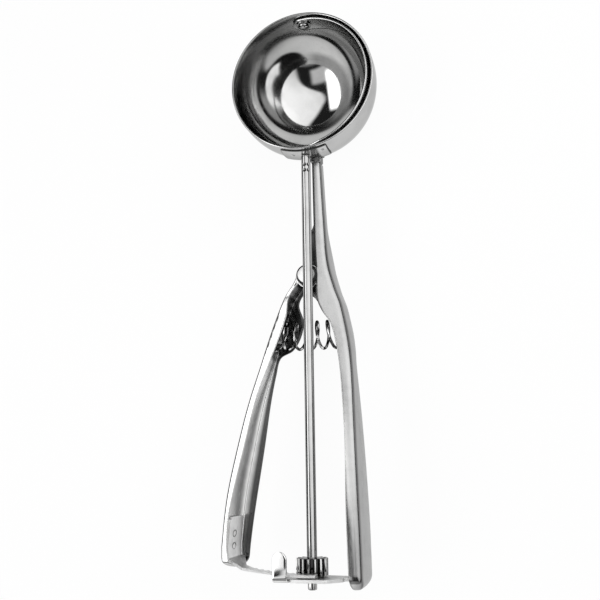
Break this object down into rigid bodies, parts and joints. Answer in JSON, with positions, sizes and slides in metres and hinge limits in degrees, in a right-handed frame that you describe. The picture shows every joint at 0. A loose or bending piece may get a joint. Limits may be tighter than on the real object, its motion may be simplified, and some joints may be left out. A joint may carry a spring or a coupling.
{
  "type": "lever ice cream scoop",
  "caption": "Squeeze-handle ice cream scoop: half-ball steel bowl with a sweeping scraper, turned by a toothed rack on the sprung lever and a pinion on the shaft.",
  "frame": {"origin": "Centre of the bowl's sphere, on the axis on which shaft and scraper turn.", "axes": "+Y runs along the shaft from the handles to the nose of the bowl, +Z points out of the bowl's mouth, +X points to the fixed handle. The scoop lies on its back with the bowl open upwards."},
  "size_m": [0.0646, 0.2325, 0.0415],
  "materials": {
    "polished_steel": "polished",
    "handle_steel": "polished",
    "shaft_steel": "satin",
    "gear_steel": "polished",
    "rivet_steel": "polished",
    "seat_steel": "satin",
    "spring_steel": "drawn wire"
  },
  "bodies": {
    "frame": {"bowl": "polished_steel", "saddle_strap": "polished_steel", "neck_collar": "polished_steel", "fixed_handle": "handle_steel", "end_bracket": "polished_steel", "hinge_rivet": "rivet_steel", "hinge_burr": "rivet_steel", "hinge_spacer": "rivet_steel", "hinge_washers": "rivet_steel", "handle_spring_seat": "seat_steel", "return_spring": "spring_steel", "blade_pivot_rivet": "rivet_steel", "shaft_washer": "rivet_steel"},
    "lever": {"lever": "handle_steel", "lever_spring_seat": "seat_steel", "rack": "polished_steel"},
    "scraper": {"scraper_blade": "polished_steel", "blade_pivot_washer": "rivet_steel", "shaft": "shaft_steel", "pinion": "gear_steel"}
  },
  "joints": [
    {"name": "lever_hinge", "type": "hinge", "parent": "frame", "child": "lever", "pos_m": [-0.0014, -0.08, 0], "axis": [0, 0, 1], "range_deg": [0, 8.2], "stiffness_Nm_per_rad": 2.6, "springref_deg": -5, "deforming": ["return_spring"]},
    {"name": "scraper_spin", "type": "hinge", "parent": "frame", "child": "scraper", "pos_m": [0, 0, 0], "axis": [0, 1, 0], "range_deg": [0, 180]}
  ],
  "couplings": [
    {"joint": "scraper_spin", "follows": "lever_hinge", "ratio": 21.752}
  ]
}
